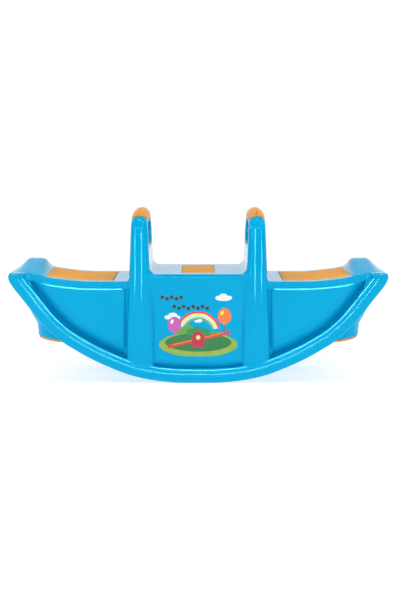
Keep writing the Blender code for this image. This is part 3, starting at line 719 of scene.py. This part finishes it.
def body_material():
    colour = (0.0006, 0.350, 0.635)
    s = Shader("glossy blue plastic", colour, 0.1)
    s.set("Specular Tint", (0.15, 0.78, 1.0, 1.0))
    s.set("IOR", 1.5)
    tone = s.ramp(s.noise(5.0, 2.0), 0.3, 0.7, shade(colour, 0.965), shade(colour, 1.03))
    s.link(tone, s.main.inputs["Base Color"])
    s.link(s.spread(s.noise(38.0, 3.0), 0.04, 0.08), s.main.inputs["Roughness"])
    wavy = s.bump(s.noise(22.0, 1.0), 0.0006, 0.32)
    s.link(s.bump(s.noise(700.0, 1.0), 0.00005, 0.35, wavy), s.main.inputs["Normal"])
    return s.mat


def pad_material():
    """Orange non-slip plastic with a fine square grid of raised studs."""
    colour = (0.86, 0.40, 0.075)
    s = Shader("orange non-slip plastic", colour, 0.7)
    s.set("Specular IOR Level", 0.12)
    x, y, _ = s.axes()
    pitch = 2 * math.pi / 0.0042
    studs = s.math("MULTIPLY", s.math("SINE", s.math("MULTIPLY", x, pitch)),
                   s.math("SINE", s.math("MULTIPLY", y, pitch)))
    grain = s.noise(900.0, 2.0)
    tone = s.ramp(s.noise(60.0, 4.0), 0.3, 0.7, shade(colour, 0.93), shade(colour, 1.06))
    s.link(tone, s.main.inputs["Base Color"])
    s.link(s.spread(s.noise(160.0, 2.0), 0.62, 0.8), s.main.inputs["Roughness"])
    under = s.bump(studs, 0.00022, 0.8)
    s.link(s.bump(grain, 0.00006, 0.5, under), s.main.inputs["Normal"])
    return s.mat


def plain_material(name, colour, rough_low, rough_high, grain=420.0, depth=0.00005, metallic=0.0, shine=0.5):
    """Moulded or plated surface: slight tone and gloss variation with a fine grain."""
    s = Shader(name, colour, (rough_low + rough_high) / 2)
    s.set("Metallic", metallic)
    s.set("Specular IOR Level", shine)
    tone = s.ramp(s.noise(40.0, 3.0), 0.3, 0.7, shade(colour, 0.94), shade(colour, 1.05))
    s.link(tone, s.main.inputs["Base Color"])
    s.link(s.spread(s.noise(150.0, 3.0), rough_low, rough_high), s.main.inputs["Roughness"])
    s.link(s.bump(s.noise(grain, 2.0), depth, 0.6), s.main.inputs["Normal"])
    return s.mat


blue = body_material()
pad_orange = pad_material()
grip_orange = plain_material("orange grip plastic", (0.74, 0.285, 0.006), 0.30, 0.42, shine=0.16)
cap_orange = plain_material("orange rubber", (0.80, 0.30, 0.012), 0.48, 0.62, 600.0, 0.00012)
steel = plain_material("zinc plated steel", (0.70, 0.71, 0.73), 0.22, 0.36, 900.0, 0.00003, 1.0)

# --------------------------------------------------------------------- body
near_shell = half_shell("near_shell_surface", -1, blue)
far_shell = half_shell("far_shell_surface", 1, blue)

wells = []
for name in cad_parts:
    if not name.endswith("_shell_screw"):
        continue
    low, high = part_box(name)
    x, z = (low[0] + high[0]) / 2, (low[2] + high[2]) / 2
    wells.append(cylinder(WELL_RADIUS, (x, SCREW_SEAT_Y, z), (x, half_width + 0.02, z)))
carve(far_shell, wells)
for shell in (near_shell, far_shell):
    shell.data.shade_smooth()
    shell.data.set_sharp_from_angle(angle=math.radians(50))
    set_normals(shell, whole_body)
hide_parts("near_half_shell")
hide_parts("far_half_shell")


# ---------------------------------------------------------------- seat pads
def seat_pad(name, node, low_x, high_x, half_y):
    """Thin pad that follows the deck, with a grooved border and softened edges."""

    def lines(low, high, spacing):
        marks = [low, low + PAD_SOFT * 0.35, low + PAD_SOFT, low + PAD_BORDER - PAD_GROOVE,
                 low + PAD_BORDER, low + PAD_BORDER + PAD_GROOVE]
        count = round((high - low - 2 * marks[-1] + 2 * low) / spacing)
        first, last = marks[-1], high - (marks[-1] - low)
        inner = [first + (last - first) * i / count for i in range(1, count)]
        return np.array(marks + inner + [high + low - m for m in reversed(marks)])

    xs, ys = lines(low_x, high_x, 0.0045), lines(-half_y, half_y, 0.0055)
    gx, gy = np.meshgrid(xs, ys, indexing="ij")
    inset = np.minimum(np.minimum(gx - low_x, high_x - gx), np.minimum(gy + half_y, half_y - gy))
    drop = PAD_SOFT_DEPTH * (1 - ease(0.0, PAD_SOFT, inset)) ** 2
    drop += PAD_GROOVE_DEPTH * np.maximum(0.0, 1 - np.abs(inset - PAD_BORDER) / (PAD_GROOVE * 0.8))
    surface = seat_z(np.abs(gx), np.abs(gy))
    top = np.stack([gx, gy, surface + PAD_PROUD - drop], axis=-1).reshape(-1, 3)
    floor = np.stack([gx, gy, surface + PAD_PROUD - PAD_THICK], axis=-1).reshape(-1, 3)
    nx, ny = gx.shape
    index = np.arange(nx * ny).reshape(nx, ny)
    quads = np.stack([index[:-1, :-1], index[1:, :-1], index[1:, 1:], index[:-1, 1:]], axis=-1).reshape(-1, 4)
    ring = np.concatenate([index[:-1, 0], index[-1, :-1], index[:0:-1, -1], index[0, :0:-1]])
    after = np.roll(ring, -1)
    below = nx * ny
    walls = np.stack([ring, ring + below, after + below, after], axis=-1)
    faces = np.concatenate([quads, quads[:, ::-1] + below, walls])
    pad = make_object(name, make_mesh(name, np.concatenate([top, floor]), faces), pad_orange)
    pad.data.set_sharp_from_angle(angle=math.radians(60))
    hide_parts(node)
    return pad


seat_pad("left_pad_surface", "left_seat_pad", -PAD_OUTER, -PAD_INNER, PAD_HALF_Y)
seat_pad("centre_pad_surface", "centre_seat_pad", -CENTRE_PAD_HALF_X, CENTRE_PAD_HALF_X, CENTRE_PAD_HALF_Y)
seat_pad("right_pad_surface", "right_seat_pad", PAD_INNER, PAD_OUTER, PAD_HALF_Y)


# -------------------------------------------------------------------- grips
def grip_solid(x, y, z, lower):
    """One half of a sleeve round the bar: lower keeps the side towards the middle seat."""
    v = np.abs(y)
    skin = arch_skin(x, v, z)
    turn = np.arctan2(z - (HOLE_TOP + HANDLE_TOP) / 2, (x - HANDLE_X) * 0.8)
    inside = past_grip_end(v, z) - GAP
    ribs = GRIP_RIB_HEIGHT * np.cos(turn * GRIP_RIBS) * ease(0.001, 0.006, inside)
    sleeve = both(skin - GRIP_PROUD - ribs, -inside, GRIP_ROUND)
    sleeve = both(sleeve, GAP - GRIP_THICK - skin, 0.0002)
    split = (x - HANDLE_X) if lower else (HANDLE_X - x)
    return both(sleeve, split + GAP / 2, 0.0006)


def grip_half(name, node, side, lower):
    xs = steps_through([(HANDLE_X - 0.0345, 0.0013), (HANDLE_X - 0.0012, 0.0008),
                        (HANDLE_X + 0.0012, 0.0013), (HANDLE_X + 0.0365, 0.001)])
    ys = steps_through([(-GRIP_END_Y - 0.010, 0.0022), (GRIP_END_Y + 0.010, 0.002)])
    zs = steps_through([(HOLE_TOP - 0.006, 0.0013), (HANDLE_TOP + 0.004, 0.001)])

    def solid(x, y, z):
        return grip_solid(x, y, z, lower)

    values = solid(xs[:, None, None], ys[None, :, None], zs[None, None, :])
    vertices, quads = surface_net(values, xs, ys, zs)
    vertices = settle(solid, vertices, limit=0.0007)
    if side < 0:
        vertices[:, 0] *= -1
        quads = quads[:, ::-1]
    mesh = make_mesh(name, vertices, quads)
    grip = make_object(name, mesh, grip_orange)
    mesh.set_sharp_from_angle(angle=math.radians(55))
    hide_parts(node)
    return grip


for side, word in ((-1, "left"), (1, "right")):
    for lower, half_word in ((False, "outer"), (True, "inner")):
        grip_half(f"{word}_grip_{half_word}_surface", f"{word}_grip_{half_word}_half", side, lower)


# ---------------------------------------------------------------- foot caps
def cap_frame(side):
    """Frame on the foot face: +Z points down out of the foot."""
    place = Matrix.Translation((side * FOOT_X, 0, stop_plane_z(FOOT_X)))
    return place @ Matrix.Rotation(side * (math.pi - STOP_ANGLE), 4, "Y")


def foot_cap(name, node, side):
    """Rubber disc with three tread grooves, a rounded rim and two sunk screw seats."""
    profile = [(0.0, 0.0)]
    for groove in CAP_GROOVES:
        profile += [(groove - 0.0014, 0.0), (groove - 0.0009, -CAP_GROOVE_DEPTH),
                    (groove + 0.0009, -CAP_GROOVE_DEPTH), (groove + 0.0014, 0.0)]
    for step in range(6):
        a = math.radians(18 * step)
        profile.append((FOOT_RADIUS - CAP_RIM + CAP_RIM * math.sin(a), -CAP_RIM * (1 - math.cos(a))))
    profile += [(FOOT_RADIUS, -CAP_THICK), (0.0, -CAP_THICK)]
    mesh = bpy.data.meshes.new(name)
    work = bmesh.new()
    points = [work.verts.new((radius, 0.0, height)) for radius, height in profile]
    edges = [work.edges.new(pair) for pair in zip(points, points[1:])]
    bmesh.ops.spin(work, geom=points + edges, cent=(0, 0, 0), axis=(0, 0, 1), angle=math.tau, steps=96,
                   use_merge=True)
    bmesh.ops.remove_doubles(work, verts=work.verts, dist=0.00001)
    bmesh.ops.recalc_face_normals(work, faces=work.faces)
    work.to_mesh(mesh)
    work.free()
    cap = make_object(name, mesh, cap_orange)
    carve(cap, [cylinder(CAP_SINK_RADIUS, (0, y, -CAP_SINK_DEPTH), (0, y, 0.004))
                for y in (-CAP_SCREW_Y, CAP_SCREW_Y)])
    cap.data.transform(cap_frame(side))
    cap.data.shade_smooth()
    cap.data.set_sharp_from_angle(angle=math.radians(35))
    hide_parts(node)
    return cap


foot_cap("left_cap_surface", "left_foot_cap", -1)
foot_cap("right_cap_surface", "right_foot_cap", 1)

for name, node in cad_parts.items():
    if name.endswith("_screw"):
        node.data.materials.clear()
        node.data.materials.append(steel)

# ------------------------------------------------------------------ picture
FILM_SHARE = 0.998           # the print stays within this share of the film
film_low, film_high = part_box("near_picture_film")
film_x, film_z = film_high[0], (film_low[2] + film_high[2]) / 2
film_half = (film_high[2] - film_low[2]) / 2
inks = {
    "meadow": (0.27, 0.42, 0.045), "grass": (0.018, 0.19, 0.045), "bush": (0.012, 0.26, 0.06),
    "shrub": (0.10, 0.34, 0.05), "cloud": (0.72, 0.80, 0.90), "red": (0.66, 0.035, 0.018),
    "crimson": (0.50, 0.008, 0.060), "yellow": (0.88, 0.80, 0.16), "pale": (0.50, 0.72, 0.94),
    "lime": (0.50, 0.72, 0.12), "rainbow_red": (0.80, 0.02, 0.12), "rainbow_green": (0.14, 0.42, 0.10),
    "mauve": (0.50, 0.10, 0.42), "orange": (0.86, 0.20, 0.03), "string": (0.22, 0.07, 0.05),
    "berry": (0.045, 0.006, 0.005),
}
ink_names = list(inks)
ink_materials = [plain_material(f"print_{name}", colour, 0.16, 0.26, 900.0, 0.00002)
                 for name, colour in inks.items()]


def placed(cx, cz, x, z, turn):
    """A point of a shape turned about its centre, in the picture."""
    return cx + x * math.cos(turn) - z * math.sin(turn), cz + x * math.sin(turn) + z * math.cos(turn)


def oval(cx, cz, rx, rz, steps=48, turn=0.0):
    ring = []
    for i in range(steps):
        a = math.tau * i / steps
        ring.append(placed(cx, cz, rx * math.cos(a), rz * math.sin(a), turn))
    return ring


def slab(cx, cz, half_x, half_z, turn=0.0, corner=0.3):
    """Rounded bar in the picture."""
    r = min(half_x, half_z) * corner
    ring = []
    for sx, sz, start in ((1, -1, -90), (1, 1, 0), (-1, 1, 90), (-1, -1, 180)):
        for i in range(5):
            a = math.radians(start + 22.5 * i)
            x = sx * (half_x - r) + r * math.cos(a)
            z = sz * (half_z - r) + r * math.sin(a)
            ring.append(placed(cx, cz, x, z, turn))
    return ring


def bow(cx, cz, inner, outer, start, end, steps=36):
    """Band of an arch between two angles."""
    angles = [math.radians(start + (end - start) * i / steps) for i in range(steps + 1)]
    ring = [(cx + outer * math.cos(a), cz + outer * math.sin(a)) for a in angles]
    return ring + [(cx + inner * math.cos(a), cz + inner * math.sin(a)) for a in reversed(angles)]


def picture_shapes():
    """(ink, outline) pairs from the back to the front; the unit is half the film's width."""
    shapes = []
    for i, ink in enumerate(("rainbow_red", "yellow", "pale", "rainbow_green")):
        outer = 0.56 - 0.052 * i
        shapes.append((ink, bow(0.0, -0.235, outer - 0.052, outer, 14, 166)))
    shapes.append(("meadow", oval(0.0, -0.53, 0.99, 0.32)))
    shapes.append(("shrub", oval(-0.40, -0.19, 0.20, 0.115)))
    shapes.append(("shrub", oval(-0.27, -0.14, 0.15, 0.12)))
    shapes.append(("shrub", oval(0.42, -0.27, 0.20, 0.07)))
    shapes.append(("meadow", oval(-0.04, -0.33, 0.60, 0.085)))
    shapes.append(("grass", oval(0.0, -0.475, 0.84, 0.235)))
    for cx, cz, rx, rz in ((-0.16, -0.205, 0.13, 0.09), (0.0, -0.175, 0.16, 0.105),
                           (0.16, -0.205, 0.13, 0.085)):
        shapes.append(("bush", oval(cx, cz, rx, rz)))
    for cx, cz, rx, rz in ((0.52, 0.66, 0.09, 0.06), (0.63, 0.69, 0.11, 0.085), (0.76, 0.665, 0.09, 0.055),
                           (0.64, 0.63, 0.17, 0.045), (-0.76, 0.17, 0.09, 0.055), (-0.64, 0.21, 0.12, 0.08),
                           (-0.53, 0.165, 0.08, 0.05), (0.00, 0.07, 0.10, 0.035), (0.04, 0.09, 0.06, 0.035)):
        shapes.append(("cloud", oval(cx, cz, rx, rz)))
    # Two strings of beads in the upper left corner.
    for first, count, cz in ((-0.90, 5, 0.66), (-0.60, 8, 0.42)):
        for i in range(count):
            shapes.append(("berry", oval(first + 0.118 * i, cz + 0.022 * (-1) ** i, 0.046, 0.046, 20)))
    plank_turn = math.radians(13.5)
    shapes.append(("red", slab(0.02, -0.395, 0.82, 0.042, plank_turn, 0.9)))
    shapes.append(("orange", slab(0.02, -0.376, 0.70, 0.014, plank_turn, 0.9)))
    shapes.append(("crimson", slab(0.0, -0.46, 0.155, 0.13, 0.0, 0.2)))
    shapes.append(("crimson", oval(0.0, -0.345, 0.155, 0.155)))
    shapes.append(("lime", oval(0.0, -0.345, 0.058, 0.058)))
    shapes.append(("yellow", oval(0.0, -0.345, 0.030, 0.030)))
    # Two balloons tied to the plank's ends.
    for cx, cz, ink, light, foot_x, foot_z in ((-0.60, -0.02, "mauve", "cloud", -0.62, -0.50),
                                               (0.66, 0.20, "orange", "yellow", 0.66, -0.25)):
        shapes.append(("string", slab((cx + foot_x) / 2, (cz + foot_z) / 2, 0.008, (cz - foot_z) / 2)))
        shapes.append((ink, oval(cx, cz, 0.17, 0.205)))
        shapes.append((ink, slab(cx, cz - 0.215, 0.032, 0.018)))
        shapes.append((light, oval(cx - 0.06, cz + 0.08, 0.035, 0.06, 24, -0.4)))
    return shapes


def picture(name, node, side):
    """Printed shapes on the panel, laid one over the other inside the film's thickness."""
    low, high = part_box(node)
    back = min(abs(low[1]), abs(high[1]))
    depth = abs(high[1] - low[1])
    shapes = picture_shapes()
    layer = depth / (len(shapes) + 1)
    mesh = bpy.data.meshes.new(name)
    work = bmesh.new()
    for order, (ink, outline) in enumerate(shapes):
        rings = []
        for y in (back, back + layer * (order + 2)):
            ring = []
            for x, z in outline:
                x = max(-FILM_SHARE, min(FILM_SHARE, x)) * film_x
                z = max(-FILM_SHARE * film_half, min(FILM_SHARE * film_half, z * film_x))
                ring.append(work.verts.new((-side * x, side * y, film_z + z)))
            rings.append(ring)
        face = work.faces.new(rings[1])
        face.material_index = ink_names.index(ink)
        count = len(outline)
        for i in range(count):
            j = (i + 1) % count
            wall = work.faces.new((rings[0][i], rings[0][j], rings[1][j], rings[1][i]))
            wall.material_index = ink_names.index(ink)
        cap = work.faces.new(list(reversed(rings[0])))
        cap.material_index = ink_names.index(ink)
    bmesh.ops.recalc_face_normals(work, faces=work.faces)
    bmesh.ops.triangulate(work, faces=work.faces)
    work.to_mesh(mesh)
    work.free()
    obj = bpy.data.objects.new(name, mesh)
    bpy.context.scene.collection.objects.link(obj)
    for mat in ink_materials:
        mesh.materials.append(mat)
    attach(obj, "root")
    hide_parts(node)
    return obj


picture("near_picture_print", "near_picture_film", -1)
picture("far_picture_print", "far_picture_film", 1)


# -------------------------------------------------------------------- stage
def add_light(name, place, turn, size, power):
    """Rectangular lamp; turned by Euler angles in degrees from facing straight down."""
    lamp = bpy.data.lights.new(name, "AREA")
    lamp.energy = power
    lamp.shape = "RECTANGLE"
    lamp.size, lamp.size_y = size
    obj = bpy.data.objects.new(name, lamp)
    obj.location = place
    obj.rotation_euler = [math.radians(a) for a in turn]
    bpy.context.scene.collection.objects.link(obj)
    return obj


FLOOR_SIZE = 30.0
FLOOR_GAP = 0.0002           # the floor lies this far below the sole
WORLD_GLOW = 0.15
FLOOR_GLOW = 0.66
BACKDROP_GLOW = 1.02
BACKDROP_HALF = 4.5
ARCH_GLOW = 30.0
ARCH_REACH = 2.45            # radius of the lit arch over the object
ARCH_CENTRE_Z = 0.15
ARCH_Y = -0.705
ARCH_LIGHT_HALF = 0.050      # half of its width
STRIP_X = 1.15
WHITE = (1.0, 1.0, 1.0, 1.0)

world = bpy.data.worlds.new("studio")
world.use_nodes = True
sky = world.node_tree.nodes["Background"]
sky.inputs["Color"].default_value = WHITE
sky.inputs["Strength"].default_value = WORLD_GLOW
bpy.context.scene.world = world

floor_mesh = bpy.data.meshes.new("floor")
floor_work = bmesh.new()
bmesh.ops.create_grid(floor_work, x_segments=1, y_segments=1, size=FLOOR_SIZE)
floor_work.to_mesh(floor_mesh)
floor_work.free()
floor = bpy.data.objects.new("floor", floor_mesh)
floor.location = (0, 0, cad_box[0][2] - FLOOR_GAP)
bpy.context.scene.collection.objects.link(floor)
floor_glow = plain_material("pale floor", (0.55, 0.55, 0.55), 0.85, 0.95, 30.0, 0.00005)
floor_shader = floor_glow.node_tree.nodes["Principled BSDF"]
floor_shader.inputs["Emission Color"].default_value = WHITE
floor_shader.inputs["Emission Strength"].default_value = FLOOR_GLOW
floor_shader.inputs["Specular IOR Level"].default_value = 0.1
floor_mesh.materials.append(floor_glow)


def lit_sheet(name, rows, glow):
    """Surface that only gives light, skinned over rows of points."""
    mesh = bpy.data.meshes.new(name)
    work = bmesh.new()
    lines = [[work.verts.new(point) for point in row] for row in rows]
    for low_row, high_row in zip(lines, lines[1:]):
        for i in range(len(low_row) - 1):
            work.faces.new((low_row[i], low_row[i + 1], high_row[i + 1], high_row[i]))
    work.to_mesh(mesh)
    work.free()
    obj = bpy.data.objects.new(name, mesh)
    bpy.context.scene.collection.objects.link(obj)
    mat = bpy.data.materials.new(name)
    mat.use_nodes = True
    shader = mat.node_tree.nodes["Principled BSDF"]
    shader.inputs["Base Color"].default_value = (0.0, 0.0, 0.0, 1.0)
    shader.inputs["Specular IOR Level"].default_value = 0.0
    shader.inputs["Emission Color"].default_value = WHITE
    shader.inputs["Emission Strength"].default_value = glow
    mesh.materials.append(mat)
    return obj


# Bright backdrop behind the object, bent forward at the top.
wall_line = [(3.2, -0.2), (3.2, 3.6), (3.0, 4.2), (2.5, 4.6)]
wall_rows = [[(x, y, z) for x in (-BACKDROP_HALF, BACKDROP_HALF)] for y, z in wall_line]
lit_sheet("backdrop", wall_rows, BACKDROP_GLOW)
# Narrow lit arch over the object: the thin lights along its rims are reflections of it.
arch_rows = []
for step in range(33):
    a = math.radians(-80 + 5 * step)
    arch_rows.append([(ARCH_REACH * math.sin(a), y, ARCH_CENTRE_Z + ARCH_REACH * math.cos(a))
                      for y in (ARCH_Y - ARCH_LIGHT_HALF, ARCH_Y + ARCH_LIGHT_HALF)])
lit_sheet("lit arch", arch_rows, ARCH_GLOW)

add_light("front softbox", (0.0, -4.6, 1.4), (76, 0, 0), (3.6, 1.2), 34.0)
for word, share in (("left", -1), ("middle", 0), ("right", 1)):
    add_light(f"{word} strip", (share * STRIP_X, -4.0, 0.40), (90, 0, share * 16), (0.08, 0.70), 7.0)

bpy.context.scene.view_settings.view_transform = "Standard"

# ------------------------------------------------------------------- camera
CAMERA_LENS = 66.07          # millimetres
CAMERA_PLACE = (0.0065, -3.253, 0.712)
CAMERA_TILT = math.radians(8.636)         # how far it looks down

camera_data = bpy.data.cameras.new("camera")
camera_data.sensor_width = 36.0
camera_data.sensor_fit = "AUTO"
camera_data.lens = CAMERA_LENS
camera_data.clip_end = 100.0
camera = bpy.data.objects.new("camera", camera_data)
camera.location = CAMERA_PLACE
camera.rotation_euler = (math.radians(90.0) - CAMERA_TILT, 0.0, 0.0)
bpy.context.scene.collection.objects.link(camera)
bpy.context.scene.camera = camera
